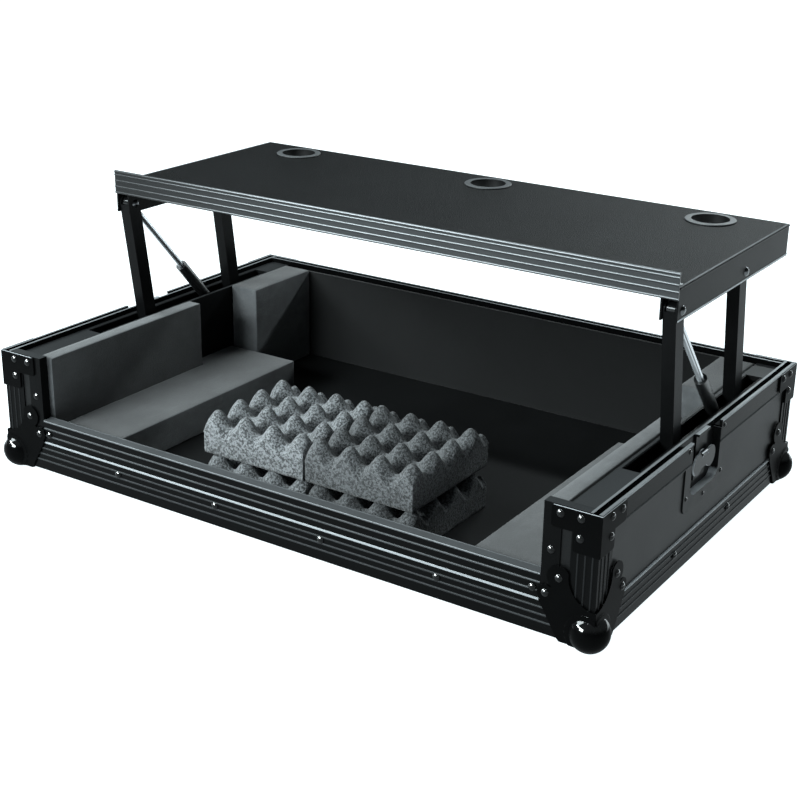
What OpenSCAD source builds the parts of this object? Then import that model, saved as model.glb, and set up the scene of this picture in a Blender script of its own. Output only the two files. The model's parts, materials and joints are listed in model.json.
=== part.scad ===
// Flight case for a desk controller, with a laptop shelf on folding arms over the rear half.
// Origin at the middle of the footprint, on the surface under the ball corners, +Z up, -Y to the user.

/* [Case] */
// Width across the outer faces of the side walls
case_w = 800; // [720:1:900]
// Depth from the front face to the rear face
case_d = 520; // [510:1:600]
// Height of the walls, from the underside of the rails to the rim
case_h = 144; // [138:1:160]
// Height of the low front wall above the underside of the rails
front_h = 66; // [62:1:72]
// Width of the full-height post at each end of the front wall
post_w = 61; // [58:1:66]
// Thickness of the laminated panels
panel_t = 9; // [8:0.5:10]
// How far the ball corners stand out past the case faces
ball_out = 13; // [11:0.5:14]
// How far the ball corners stand out below the rails
ball_drop = 8; // [6:0.5:10]

/* [Rails] */
// Thickness of the aluminium rails
rail_t = 1.5; // [1.2:0.1:1.8]
// Height of the bottom rails
bottom_rail_h = 38; // [36:1:41]
// Width of the bottom rails under the base
bottom_rail_foot = 30; // [26:1:32]
// Height of the outer leg of the top rails
top_rail_h = 26; // [24:1:28]
// Width of each of the two lips along the rim
lip_w = 3; // [2.5:0.1:3.5]
// Depth of the groove between the lips
groove_deep = 7; // [6:0.5:8]
// Height of the inner leg of the front sill rail
sill_leg = 16; // [12:1:20]
// Leg width of the corner uprights
upright_w = 30; // [28:1:34]
// Width of the smooth trim on the inner edge of each front post
post_trim_w = 20; // [18:1:22]
// Height of the ribs on the rails
rib_h = 0.8; // [0.6:0.1:1]
// Radius of a rib
rib_r = 1.3; // [1.1:0.1:1.6]
// Spacing of the ribs
rib_pitch = 8; // [7.5:0.1:8.3]

/* [Corners] */
// Radius of the ball corners
ball_r = 21; // [20:0.5:22]
// Radius of the raised collar round each ball
collar_r = 24; // [23:0.5:26]
// Height of the collar
collar_h = 1.6; // [1:0.1:2]
// Thickness of the corner plates
plate_t = 1.5; // [1.2:0.1:2]
// Reach of a top brace along the rim
brace_reach = 52; // [48:1:56]
// Height of a top brace along the rim
brace_h = 24; // [22:1:26]
// Width of the leg of a top brace
brace_leg_w = 28; // [26:1:30]
// Height of the leg of a top brace
brace_leg_h = 45; // [42:1:48]
// Rounding of the brace outlines
brace_round = 4; // [3:0.5:5]
// Radius of the upper lobe of a ball corner plate
upper_lobe_r = 13; // [12:0.5:14]
// Radius of the lower lobe of a ball corner plate
lower_lobe_r = 9; // [8:0.5:10]
// Diameter of a rivet head
rivet_d = 9; // [7:0.5:10]
// Height of a rivet head
rivet_h = 2.4; // [1.8:0.1:3]
// Spacing of the rivets along the bottom rails
rivet_pitch = 147; // [140:1:150]

/* [Latches] */
// Distance of the latches in front of the middle of the side walls
latch_back = 6; // [0:1:12]
// Distance of the turning centre below the rim
latch_drop = 34; // [33:0.5:36]
// Half width of the dish recess
recess_r = 38; // [37.5:0.5:40]
// Distance of the recess's centre above the turning centre
recess_rise = 7.5; // [7:0.5:8]
// Width of the dish flange
dish_w = 108; // [104:1:112]
// Distance of the flange's lower edge below the rim
dish_drop = 80; // [78:0.5:84]
// Thickness of the pressed dish
dish_t = 1.2; // [1:0.1:1.4]
// Width of the hook plate
hook_w = 30; // [28:1:32]
// Thickness of the hook plate
hook_t = 2; // [1.6:0.1:2.2]
// Travel of the hook plate when the wing turns half round
hook_travel = 10; // [8:0.5:10]
// Radius of each lobe of the wing
wing_lobe_r = 12; // [11:0.5:12.5]
// Distance of a lobe's centre from the turning centre
wing_lobe_out = 17; // [16:0.5:17.5]
// Thickness of the wing
wing_t = 2; // [1.6:0.1:2.2]
// Radius of the turning disc
disc_r = 12; // [11:0.5:12.5]

/* [Lift] */
// Width inside the lift brackets and the shelf channels
lift_gap = 16; // [15.5:0.1:16.5]
// Thickness of the lift steel
lift_t = 2; // [1.6:0.1:2.2]
// Width of the arms across the pivots
arm_w = 15; // [14.5:0.1:15.2]
// Depth of the arms
arm_deep = 20; // [18:0.5:22]
// Distance between the two pivots of an arm
arm_l = 168; // [160:1:176]
// Lean of the raised arms towards the front
arm_lean = 8; // [6:0.5:10]
// Position of the front arms' lower pivots in front of the middle
front_pivot_fwd = 37; // [34:1:40]
// Distance from the front arms to the rear arms
arm_spacing = 172; // [166:1:178]
// Diameter of the pivot bolts
bolt_d = 8; // [7:0.5:8]
// Radial clearance of the turning fits
fit = 0.05; // [0.03:0.01:0.08]
// Distance of the strut's lower pin behind the middle
strut_pin_back = 120; // [116:1:124]
// Distance of the strut's lower pin below the arms' lower pivots
strut_pin_drop = 37; // [35:1:39]
// Diameter of the strut's rod
rod_d = 8; // [7:0.5:8.5]
// Length of the rod from the upper bolt to its piston end
rod_l = 212; // [209:1:216]
// Diameter of the strut's cylinder
tube_d = 15; // [14:0.1:15.2]
// Distance from the cylinder's mouth to the lower pin
tube_l = 134; // [131:1:137]

/* [Shelf] */
// Depth of the shelf board
shelf_d = 312; // [300:1:324]
// Thickness of the shelf board
shelf_t = 12; // [10:0.5:14]
// Distance of the board's front edge in front of the front upper pivots
shelf_fwd = 12; // [11:0.5:16]
// Distance of the board's underside above the upper pivots
shelf_rise = 15.5; // [14.5:0.5:17]
// Distance of the channel's lower edge below the upper pivots
channel_drop = 10.5; // [9.5:0.5:12]
// Height of the front stop rail above the board
stop_h = 13.5; // [10:0.5:16]
// Outer diameter of the cable grommets
grommet_d = 60; // [56:1:64]
// Diameter of the cable holes
grommet_hole = 45; // [42:1:48]
// Distance of the grommet centres from the board's rear edge
grommet_in = 40; // [36:1:46]
// Distance of the outer grommets from the middle
grommet_out = 300; // [280:1:310]

/* [Foam] */
// Gap between the walls' inner faces and the side foam, bridged by the ledge
ledge_w = 31; // [30:0.5:33]
// Thickness of the ledge
ledge_t = 7; // [6:0.5:9]
// Distance of the ledge's top below the rim
ledge_drop = 6; // [5:0.5:8]
// Thickness of the board between the lift pocket and the foam
pocket_t = 4; // [3.5:0.1:4]
// Thickness of the side foam
side_foam_t = 22; // [18:1:26]
// Length of the side foam
side_foam_l = 274; // [260:1:290]
// Height of the floor foam
floor_foam_h = 44; // [38:1:50]
// Width of the floor foam
floor_foam_w = 114; // [100:1:125]
// Length of the floor foam
floor_foam_l = 358; // [340:1:360]
// Width of the rear corner foam
corner_foam_w = 45; // [40:1:50]
// Gap between the floor foam and the rear corner foam
foam_gap = 3; // [2:0.5:6]
// Distance of the foam tops below the rim
foam_drop = 3; // [2:0.5:5]
// Thickness of the rear lining
lining_t = 7; // [5:0.5:9]
// Width of an egg-crate foam block
egg_w = 143; // [135:1:150]
// Depth of an egg-crate foam block
egg_d = 158; // [150:1:165]
// Height of an egg-crate foam block at its peaks
egg_h = 52; // [48:0.5:56]
// Height of an egg-crate foam block in its hollows
egg_low = 17; // [14:0.5:20]
// Spacing of the peaks
egg_pitch = 40; // [38:0.5:42]
// Gap between the two stacks of egg-crate foam
egg_gap = 2; // [1:0.5:3]
// Distance of the stacks' meeting line right of the middle
egg_right = 18; // [0:1:30]
// Distance of the stacks from the front wall
egg_back = 32; // [26:1:40]

/* [Hidden] */
$fn = 48;
// Overrun of the cuts
cut = 1;
// Everyday clearance between parts that pass each other
slack = 0.3;

half_w = case_w / 2;
half_d = case_d / 2;
rim_z = ball_drop + case_h;
rail_z = ball_drop;
base_z = rail_z + rail_t;
floor_z = base_z + panel_t;
wall_t = panel_t + 2 * rail_t;
in_x = half_w - wall_t;
in_y = half_d - wall_t;
panel_x = half_w - rail_t;
panel_y = half_d - rail_t;
panel_in_x = panel_x - panel_t;
panel_in_y = panel_y - panel_t;
groove_z = rim_z - groove_deep;
panel_top = groove_z - rail_t;
bottom_rail_top = rail_z + bottom_rail_h;
sill_z = rail_z + front_h;
top_rail_z = rim_z - top_rail_h;
post_x = half_w - post_w;
plate_off = rib_h;

// Ribs: how many on each face, and the first one's place from the edge that the ribs are counted from
bottom_ribs = 4;
sill_ribs = 3;
upright_ribs = 3;
first_rib = 12.5;
sill_first_rib = 8;
sill_rib_pitch = 9.2;
upright_first_rib = 6;

// Rivet places, as distances from the vertical edge and from the rim or the rails' underside
brace_rivets = [[20, 8], [42, 8], [20, 29]];
ball_rivets = [[40, 67], [54, 47]];
rivet_bottom = 25;
front_rivet_steps = [-1.5, -0.5, 0.5, 1.5];
side_rivet_steps = [-0.5, 0.5];
post_rivet_up = 94;
sill_rivet_in = 8;
sill_rivet_up = 48;
dish_rivet_d = 6;
dish_rivet_h = 1.5;
dish_rivet_edge = 7;
dish_rivet_rows = [8, 62];

// Ball corner plate outline, as distances from the vertical edge and from the rails' underside
lobe_foot = 38;
lobe_side = 61;
scoop_r = 31.5;
scoop_out = 2;
scoop_up = 72;
collar_slope = 3;
ball_in = ball_r - ball_out;

latch_y = -latch_back;
latch_z = rim_z - latch_drop;
recess_x = panel_in_x + dish_t;
notch_w = 2 * recess_r + 2 * dish_t + 2 * slack;
dish_round = 10;
recess_round = 14;
recess_low = latch_z + recess_rise - recess_r;
hook_x = recess_x + 2 * slack;
hook_lip = 3;
hook_tail = 20;
disc_t = 1.7;
disc_x = hook_x + hook_t + 2 * slack;
shaft_r = bolt_d / 2;
wing_pin_r = 1.1;
knuckle_r = 1.9;
wing_axis_x = disc_x + disc_t + knuckle_r + slack;
wing_axis_share = 0.75;
wing_axis_z = latch_z + wing_axis_share * wing_lobe_r;
wing_x = wing_axis_x - wing_t / 2;
knuckle_l = 10;
lug_t = 2.5;
lug_gap = slack;
wing_waist = 7;

foam_x = in_x - ledge_w;
foam_top = rim_z - foam_drop;
ledge_top = rim_z - ledge_drop;
lift_half = lift_gap / 2 + lift_t;
slot_half = lift_half + slack;
lift_x = foam_x + pocket_t + lift_half;
bolt_head_r = 5.5;
bolt_head_t = 3;
head_room = 2.5;
pivot_z = ledge_top - ledge_t - bolt_head_r - head_room;
front_pivot_y = -front_pivot_fwd;
rear_pivot_y = front_pivot_y + arm_spacing;
arm_top_y = -arm_l * sin(arm_lean);
arm_top_z = arm_l * cos(arm_lean);
top_pivot_y = front_pivot_y + arm_top_y;
top_pivot_z = pivot_z + arm_top_z;
bore_r = bolt_d / 2 + fit;
// Lift bracket and slot ends, beyond the lower pivots, and the bracket's depth below the strut pin
bracket_front = 93;
bracket_rear = 65;
bracket_low = 30;
bracket_top = rim_z - ledge_drop - slack;
slot_front = 99;
slot_rear = 67;

// The strut's line from the upper bolt to the lower pin, and the pin's play in the cylinder's tail
strut_y = strut_pin_back - top_pivot_y;
strut_z = pivot_z - strut_pin_drop - top_pivot_z;
strut_l = norm([strut_y, strut_z]);
strut_angle = atan2(strut_z, strut_y);
strut_play = 12;
eye_r = 8;
eye_t = 9;
tube_wall = 1;
gland_l = 4;
piston_r = tube_d / 2 - tube_wall - slack;
piston_l = 8;
tail_plug = 8;
tail_t = 8;
tail_r = 8;
tail_neck = 10;

shelf_z = top_pivot_z + shelf_rise;
shelf_top = shelf_z + shelf_t;
shelf_front = top_pivot_y - shelf_fwd;
shelf_rear = shelf_front + shelf_d;
board_half = lift_x + lift_gap / 2;
shelf_half = lift_x + lift_half;
channel_low = top_pivot_z - channel_drop;
stop_flange = 8;
stop_ribs = 4;
stop_pitch = 7.5;
bead_r = 1.8;
grommet_lip = 1.8;
grommet_round = 0.9;
grommet_y = shelf_rear - grommet_in;

foam_front_gap = 3;
foam_front = -in_y + foam_front_gap;
egg_steps_x = 22;
egg_steps_y = 24;
egg_first = 13;

// A profile drawn as [distance in from the face, height] is run along the wall that faces that way
module along_wall(turn, face, length) {
    rotate([0, 0, turn])
    translate([face, 0, 0])
    rotate([90, 0, 0])
    linear_extrude(height = length, center = true)
    mirror([1, 0])
        children();
}

// The outline drawn as [along, height] becomes a plate that stands off the face of the wall
module on_wall(turn, face, thick) {
    rotate([0, 0, turn])
    translate([face, 0, 0])
    rotate([90, 0, 90])
    linear_extrude(height = thick)
        children();
}

module rect(x0, y0, x1, y1) {
    translate([x0, y0])
        square([x1 - x0, y1 - y0]);
}

module round_rect(x0, y0, x1, y1, r) {
    rect(x0 + r, y0, x1 - r, y1);
    rect(x0, y0 + r, x1, y1 - r);
    for (x = [x0 + r, x1 - r], y = [y0 + r, y1 - r])
        translate([x, y])
            circle(r = r);
}

module box(x0, y0, z0, x1, y1, z1) {
    translate([x0, y0, z0])
        cube([x1 - x0, y1 - y0, z1 - z0]);
}

module rod(x0, x1, y, z, r) {
    translate([x0, y, z])
    rotate([0, 90, 0])
        cylinder(h = x1 - x0, r = r);
}

// Half-round ribs on the outside of a rail's leg, rooted in the middle of its thickness
module ribs(count, first, pitch) {
    for (i = [0 : count - 1])
        translate([0, first + i * pitch])
        intersection() {
            translate([rib_r - rib_h, 0])
                circle(r = rib_r);
            rect(-rib_r, -rib_r, rail_t / 2, rib_r);
        }
}

module bottom_rail(turn, face, length, foot_length) {
    along_wall(turn, face, length) {
        rect(0, rail_z, rail_t, bottom_rail_top);
        ribs(bottom_ribs, rail_z + first_rib, rib_pitch);
    }
    along_wall(turn, face, foot_length)
        rect(0, rail_z, bottom_rail_foot, base_z);
}

module top_rail_profile() {
    rect(0, top_rail_z, rail_t, rim_z);
    rect(0, panel_top, wall_t, groove_z);
    rect(0, panel_top, lip_w, rim_z);
    rect(wall_t - lip_w, panel_top, wall_t, rim_z);
    rect(wall_t - rail_t, top_rail_z, wall_t, panel_top);
    ribs(1, top_rail_z + rib_r, rib_pitch);
    ribs(1, rim_z - rib_r, rib_pitch);
}

module sill_profile() {
    rect(0, bottom_rail_top, rail_t, sill_z);
    rect(0, sill_z - rail_t, wall_t, sill_z);
    rect(wall_t - rail_t, sill_z - sill_leg, wall_t, sill_z);
    ribs(sill_ribs, bottom_rail_top + sill_first_rib, sill_rib_pitch);
    translate([wall_t - rib_r, sill_z])
        circle(r = rib_h);
}

module base_panel() {
    color("#17191b")
        box(-panel_x, -panel_y, base_z, panel_x, panel_y, floor_z);
}

module recess_outline(grow, top) {
    half = recess_r + grow;
    r = recess_round + grow;
    low_z = recess_low - grow;
    round_rect(latch_y - half, low_z, latch_y + half, latch_z + recess_rise, r);
    rect(latch_y - half, low_z + r, latch_y + half, top);
}

module side_wall() {
    color("#2b2e31")
    difference() {
        box(panel_in_x, -panel_y, floor_z, panel_x, panel_y, panel_top);
        on_wall(0, panel_in_x - cut, panel_t + 2 * cut)
            recess_outline(dish_t, rim_z);
    }
}

module right_wall() {
    side_wall();
}

module left_wall() {
    mirror([1, 0, 0])
        side_wall();
}

module rear_wall() {
    color("#2b2e31")
    union() {
        box(-panel_in_x, panel_in_y, floor_z, panel_in_x, panel_y, top_rail_z);
        box(-in_x, panel_in_y, top_rail_z, in_x, panel_y, panel_top);
    }
}

module front_wall() {
    color("#2b2e31")
        box(-post_x, -panel_y, floor_z, post_x, -panel_in_y, sill_z - rail_t);
}

module front_post() {
    color("#2b2e31")
    union() {
        box(post_x + rail_t, -panel_y, floor_z, panel_in_x, -panel_in_y, top_rail_z);
        box(post_x + rail_t, -panel_y, top_rail_z, in_x, -panel_in_y, rim_z - rail_t);
    }
}

module right_front_post() {
    front_post();
}

module left_front_post() {
    mirror([1, 0, 0])
        front_post();
}

module front_bottom_rail() {
    color("#1c1e21")
        bottom_rail(-90, half_d, case_w, case_w - 2 * rail_t);
}

module rear_bottom_rail() {
    color("#1c1e21")
        bottom_rail(90, half_d, case_w, case_w - 2 * rail_t);
}

module right_bottom_rail() {
    color("#1c1e21")
        bottom_rail(0, half_w, case_d - 2 * rail_t, case_d - 2 * bottom_rail_foot);
}

module left_bottom_rail() {
    color("#1c1e21")
        bottom_rail(180, half_w, case_d - 2 * rail_t, case_d - 2 * bottom_rail_foot);
}

module front_sill_rail() {
    color("#1c1e21")
    along_wall(-90, half_d, 2 * post_x)
        sill_profile();
}

// The rail stops at the latch, where a bridge carries the inner lip across
module side_top_rail() {
    color("#1c1e21")
    difference() {
        along_wall(0, half_w, case_d)
            top_rail_profile();
        box(
            in_x - cut, latch_y - notch_w / 2, top_rail_z - cut,
            half_w + cut, latch_y + notch_w / 2, rim_z + cut
        );
    }
}

module rim_bridges() {
    front = latch_y - notch_w / 2;
    rear = latch_y + notch_w / 2;
    color("#1c1e21")
    for (side = [0, 1])
        mirror([side, 0, 0])
        union() {
            box(in_x, front, panel_top, in_x + lip_w, rear, rim_z);
            box(in_x, front, top_rail_z, in_x + rail_t, rear, panel_top);
        }
}

module right_top_rail() {
    side_top_rail();
}

module left_top_rail() {
    mirror([1, 0, 0])
        side_top_rail();
}

module rear_top_rail() {
    color("#1c1e21")
    along_wall(90, half_d, 2 * in_x)
        top_rail_profile();
}

module post_trim() {
    box(post_x, -half_d, bottom_rail_top, post_x + post_trim_w, -panel_y, rim_z - rail_t);
    box(post_x, -panel_y, sill_z, post_x + rail_t, -panel_in_y, rim_z - rail_t);
    box(post_x, -panel_in_y, sill_z, post_x + post_trim_w / 2, -in_y, rim_z - rail_t);
    box(post_x, -half_d, rim_z - rail_t, in_x, -in_y, rim_z);
}

module post_trims() {
    color("#1c1e21")
    for (side = [0, 1])
        mirror([side, 0, 0])
            post_trim();
}

module upright() {
    linear_extrude(height = top_rail_z - bottom_rail_top)
    for (swap = [0, 1])
        mirror([swap, -swap]) {
            rect(0, 0, rail_t, upright_w);
            ribs(upright_ribs, upright_first_rib, rib_pitch);
        }
}

// Places a piece drawn in from a case edge at the origin, with both faces' inward directions positive
module at_corner(side, end) {
    mirror([side, 0, 0])
    mirror([0, end, 0])
    translate([half_w, half_d, 0])
    mirror([1, 0, 0])
    mirror([0, 1, 0])
        children();
}

module corner_uprights() {
    color("#1c1e21")
    for (side = [0, 1], end = [0, 1])
        at_corner(side, end)
        translate([0, 0, bottom_rail_top])
            upright();
}

// Two plates, one on each face of a case edge, from one outline of [distance in from the edge, height]
module edge_plates() {
    reach = plate_off + plate_t;
    for (swap = [0, 1])
        mirror([swap, -swap, 0])
        translate([0, -plate_off, 0])
        rotate([90, 0, 0])
        linear_extrude(height = plate_t)
        union() {
            children();
            intersection() {
                translate([-reach, 0])
                    children();
                rect(-reach, 0, 0, rim_z);
            }
        }
}

module brace_outline() {
    r = brace_round;
    round_rect(-r, rim_z - brace_h, brace_reach, rim_z, r);
    round_rect(-r, rim_z - brace_leg_h, brace_leg_w, rim_z, r);
}

module corner_braces() {
    color("#141517")
    for (side = [0, 1], end = [0, 1])
        at_corner(side, end)
        difference() {
            edge_plates()
                brace_outline();
            translate([-rim_z - plate_off - plate_t, -rim_z, 0])
                cube([rim_z, 2 * rim_z, 2 * rim_z]);
            translate([-rim_z, -rim_z - plate_off - plate_t, 0])
                cube([2 * rim_z, rim_z, 2 * rim_z]);
        }
}

module ball_plate_outline() {
    translate([0, rail_z])
    difference() {
        union() {
            polygon([
                [0, 0], [lobe_foot, 0], [lobe_side, ball_rivets[1][1] - lower_lobe_r],
                ball_rivets[1], ball_rivets[0], [0, ball_rivets[0][1]]
            ]);
            translate(ball_rivets[0])
                circle(r = upper_lobe_r);
            translate(ball_rivets[1])
                circle(r = lower_lobe_r);
        }
        translate([-scoop_out, scoop_up])
            circle(r = scoop_r);
    }
}

// The raised collar that each plate has round the ball
module ball_collar() {
    reach = plate_off + plate_t;
    for (swap = [0, 1])
        mirror([swap, -swap, 0])
        intersection() {
            translate([ball_in, -reach, ball_r])
            rotate([90, 0, 0])
                cylinder(h = collar_h, r1 = collar_r, r2 = collar_r - collar_slope);
            translate([-reach, -case_h, rail_z - plate_t])
                cube(case_h);
        }
}

module ball_corner(side, end) {
    reach = plate_off + plate_t;
    color("#101112")
    at_corner(side, end)
    difference() {
        union() {
            edge_plates()
                ball_plate_outline();
            ball_collar();
            translate([ball_in, ball_in, ball_r])
                sphere(r = ball_r);
            translate([0, 0, rail_z - plate_t])
            linear_extrude(height = plate_t)
                round_rect(-reach, -reach, lobe_foot, lobe_foot, reach);
        }
        translate([-plate_off, -plate_off, rail_z])
            cube(case_h);
    }
}

module front_left_ball_corner() {
    ball_corner(1, 1);
}

module front_right_ball_corner() {
    ball_corner(0, 1);
}

module rear_left_ball_corner() {
    ball_corner(1, 0);
}

module rear_right_ball_corner() {
    ball_corner(0, 0);
}

// A low domed head that stands on the plane z = 0
module rivet(d = rivet_d, h = rivet_h) {
    dome_r = (d * d / 4 + h * h) / (2 * h);
    difference() {
        translate([0, 0, h - dome_r])
            sphere(r = dome_r);
        translate([-dome_r, -dome_r, -2 * dome_r])
            cube(2 * dome_r);
    }
}

module rivet_on_wall(turn, face, along, z, d = rivet_d, h = rivet_h) {
    rotate([0, 0, turn])
    translate([face, along, z])
    rotate([0, 90, 0])
        rivet(d, h);
}

module corner_rivets() {
    plate_face = plate_off + plate_t;
    for (swap = [0, 1])
        mirror([swap, -swap, 0]) {
            for (p = brace_rivets)
                translate([p[0], -plate_face, rim_z - p[1]])
                rotate([90, 0, 0])
                    rivet();
            for (p = ball_rivets)
                translate([p[0], -plate_face, rail_z + p[1]])
                rotate([90, 0, 0])
                    rivet();
        }
}

module rivets() {
    low_z = rail_z + rivet_bottom;
    color("#3a3d40") {
        for (side = [0, 1], end = [0, 1])
            at_corner(side, end)
                corner_rivets();
        for (turn = [-90, 90], step = front_rivet_steps)
            rivet_on_wall(turn, half_d + rib_h, step * rivet_pitch, low_z);
        for (turn = [0, 180], step = side_rivet_steps)
            rivet_on_wall(turn, half_w + rib_h, step * rivet_pitch, low_z);
        for (side = [-1, 1]) {
            rivet_on_wall(-90, half_d + rib_h, side * (post_x - sill_rivet_in), rail_z + sill_rivet_up);
            rivet_on_wall(-90, half_d, side * (post_x + post_trim_w / 2), rail_z + post_rivet_up);
        }
        for (turn = [0, 180], side = [-1, 1], row = dish_rivet_rows)
            rivet_on_wall(
                turn, half_w, cos(turn) * latch_y + side * (dish_w / 2 - dish_rivet_edge), rim_z - row,
                dish_rivet_d, dish_rivet_h
            );
        for (turn = [0, 180])
            rivet_on_wall(
                turn, half_w, cos(turn) * latch_y, (rim_z - dish_drop + recess_low) / 2,
                dish_rivet_d, dish_rivet_h
            );
    }
}

module ledge() {
    color("#1d1f21") {
        difference() {
            box(foam_x, -in_y, ledge_top - ledge_t, in_x, in_y, ledge_top);
            box(
                lift_x - lift_half, front_pivot_y - slot_front, ledge_top - ledge_t - cut,
                lift_x + slot_half, rear_pivot_y + slot_rear, ledge_top + cut
            );
        }
        box(foam_x, -in_y, floor_z, foam_x + pocket_t, in_y, ledge_top - ledge_t);
    }
}

module right_ledge() {
    ledge();
}

module left_ledge() {
    mirror([1, 0, 0])
        ledge();
}

module lift_bracket() {
    low_z = pivot_z - strut_pin_drop - bracket_low;
    y0 = front_pivot_y - bracket_front;
    y1 = rear_pivot_y + bracket_rear;
    color("#1a1b1d")
    difference() {
        box(lift_x - lift_half, y0, low_z, lift_x + lift_half, y1, bracket_top);
        box(
            lift_x - lift_gap / 2, y0 - cut, low_z + lift_t,
            lift_x + lift_gap / 2, y1 + cut, bracket_top + cut
        );
        for (p = case_pins())
            rod(lift_x - lift_half - cut, lift_x + lift_half + cut, p[0], p[1], bore_r);
    }
}

function case_pins() = [
    [front_pivot_y, pivot_z], [rear_pivot_y, pivot_z], [strut_pin_back, pivot_z - strut_pin_drop]
];

function shelf_pins() = [[top_pivot_y, top_pivot_z], [top_pivot_y + arm_spacing, top_pivot_z]];

module right_lift_bracket() {
    lift_bracket();
}

module left_lift_bracket() {
    mirror([1, 0, 0])
        lift_bracket();
}

module case_pivot_bolts() {
    color("#8a8d90")
    for (side = [0, 1], p = case_pins())
        mirror([side, 0, 0]) {
            rod(lift_x - lift_half, lift_x + lift_half, p[0], p[1], bolt_d / 2);
            rivet_on_wall(0, lift_x + lift_half, p[0], p[1], 2 * bolt_head_r, bolt_head_t);
        }
}

module side_foam() {
    color("#4b4e51")
        box(
            foam_x - side_foam_t, foam_front, floor_z,
            foam_x, foam_front + side_foam_l, foam_top
        );
}

module right_side_foam() {
    side_foam();
}

module left_side_foam() {
    mirror([1, 0, 0])
        side_foam();
}

// The floor foam is notched where the side foam stands
module floor_foam() {
    color("#4b4e51")
    difference() {
        box(
            foam_x - floor_foam_w, foam_front, floor_z,
            foam_x, foam_front + floor_foam_l, floor_z + floor_foam_h
        );
        box(
            foam_x - side_foam_t, foam_front - cut, floor_z - cut,
            foam_x + cut, foam_front + side_foam_l, floor_z + floor_foam_h + cut
        );
    }
}

module right_floor_foam() {
    floor_foam();
}

module left_floor_foam() {
    mirror([1, 0, 0])
        floor_foam();
}

module corner_foam() {
    front = foam_front + floor_foam_l + foam_gap;
    color("#4b4e51")
        box(foam_x - corner_foam_w, front, floor_z, foam_x, in_y - lining_t, foam_top);
}

module right_corner_foam() {
    corner_foam();
}

module left_corner_foam() {
    mirror([1, 0, 0])
        corner_foam();
}

module rear_lining() {
    color("#202224")
        box(-foam_x, in_y - lining_t, floor_z, foam_x, in_y, ledge_top);
}

// Height of the egg-crate face: one wave along each direction, added
function egg_wave(d) = cos(360 * (d - egg_first) / egg_pitch);
function egg_height(x, y) = egg_low + (egg_h - egg_low) * (2 + egg_wave(x) + egg_wave(y)) / 4;

// Corner points of the block's outline in order, as grid steps
function egg_rim() = concat(
    [for (i = [0 : egg_steps_x - 1]) [i, 0]],
    [for (j = [0 : egg_steps_y - 1]) [egg_steps_x, j]],
    [for (i = [egg_steps_x : -1 : 1]) [i, egg_steps_y]],
    [for (j = [egg_steps_y : -1 : 1]) [0, j]]
);

module egg_block() {
    row = egg_steps_x + 1;
    count = row * (egg_steps_y + 1);
    rim = egg_rim();
    n = len(rim);
    dx = egg_w / egg_steps_x;
    dy = egg_d / egg_steps_y;
    top = [
        for (j = [0 : egg_steps_y], i = [0 : egg_steps_x])
            [i * dx, j * dy, egg_height(i * dx, j * dy)]
    ];
    low = [for (p = rim) [p[0] * dx, p[1] * dy, 0]];
    middle = [[egg_w / 2, egg_d / 2, 0]];
    top_faces = [
        for (j = [0 : egg_steps_y - 1], i = [0 : egg_steps_x - 1], half = [0, 1])
            let (a = j * row + i)
            half == 0 ? [a, a + row, a + row + 1] : [a, a + row + 1, a + 1]
    ];
    side_faces = [
        for (k = [0 : n - 1], half = [0, 1])
            let (next = (k + 1) % n)
            let (a = rim[k][1] * row + rim[k][0])
            let (b = rim[next][1] * row + rim[next][0])
            half == 0 ? [a, b, count + next] : [a, count + next, count + k]
    ];
    low_faces = [for (k = [0 : n - 1]) [count + k, count + (k + 1) % n, count + n]];
    polyhedron(points = concat(top, low, middle), faces = concat(top_faces, side_faces, low_faces));
}

module egg_foam(side, layer) {
    x = side == 0 ? egg_right - egg_w - egg_gap / 2 : egg_right + egg_gap / 2;
    color("#6d7073")
    translate([x, -in_y + egg_back, floor_z + layer * egg_h])
        egg_block();
}

module lower_left_egg_foam() {
    egg_foam(0, 0);
}

module lower_right_egg_foam() {
    egg_foam(1, 0);
}

module upper_left_egg_foam() {
    egg_foam(0, 1);
}

module upper_right_egg_foam() {
    egg_foam(1, 1);
}

// An open channel drawn from its lower pivot at the origin up to its upper pivot, open to the rear
module arm_channel() {
    r = arm_deep / 2;
    difference() {
        union() {
            for (x = [-arm_w / 2, arm_w / 2 - lift_t]) {
                rod(x, x + lift_t, 0, 0, r);
                rod(x, x + lift_t, 0, arm_l, r);
                box(x, -r, 0, x + lift_t, r, arm_l);
            }
            box(-arm_w / 2, -r, 0, arm_w / 2, lift_t - r, arm_l);
        }
        for (z = [0, arm_l])
            rod(-arm_w, arm_w, 0, z, bore_r);
    }
}

module arm(side, pivot_y) {
    color("#1a1b1d")
    mirror([side, 0, 0])
    translate([lift_x, pivot_y, pivot_z])
    rotate([arm_lean, 0, 0])
        arm_channel();
}

module right_front_arm() {
    arm(0, front_pivot_y);
}

module left_front_arm() {
    arm(1, front_pivot_y);
}

module right_rear_arm() {
    arm(0, rear_pivot_y);
}

module left_rear_arm() {
    arm(1, rear_pivot_y);
}

// Places a piece drawn along +Y from the upper bolt on the strut's line
module on_strut(side) {
    mirror([side, 0, 0])
    translate([lift_x, top_pivot_y, top_pivot_z])
    rotate([strut_angle, 0, 0])
        children();
}

module along_strut(y0, y1, r) {
    translate([0, y1, 0])
    rotate([90, 0, 0])
        cylinder(h = y1 - y0, r = r);
}

module strut_rods() {
    color("#c9ccce")
    for (side = [0, 1])
        on_strut(side)
        difference() {
            union() {
                rod(-eye_t / 2, eye_t / 2, 0, 0, eye_r);
                along_strut((bore_r + eye_r) / 2, rod_l - piston_l, rod_d / 2);
                along_strut(rod_l - piston_l, rod_l, piston_r);
            }
            rod(-eye_t, eye_t, 0, 0, bore_r);
        }
}

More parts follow.
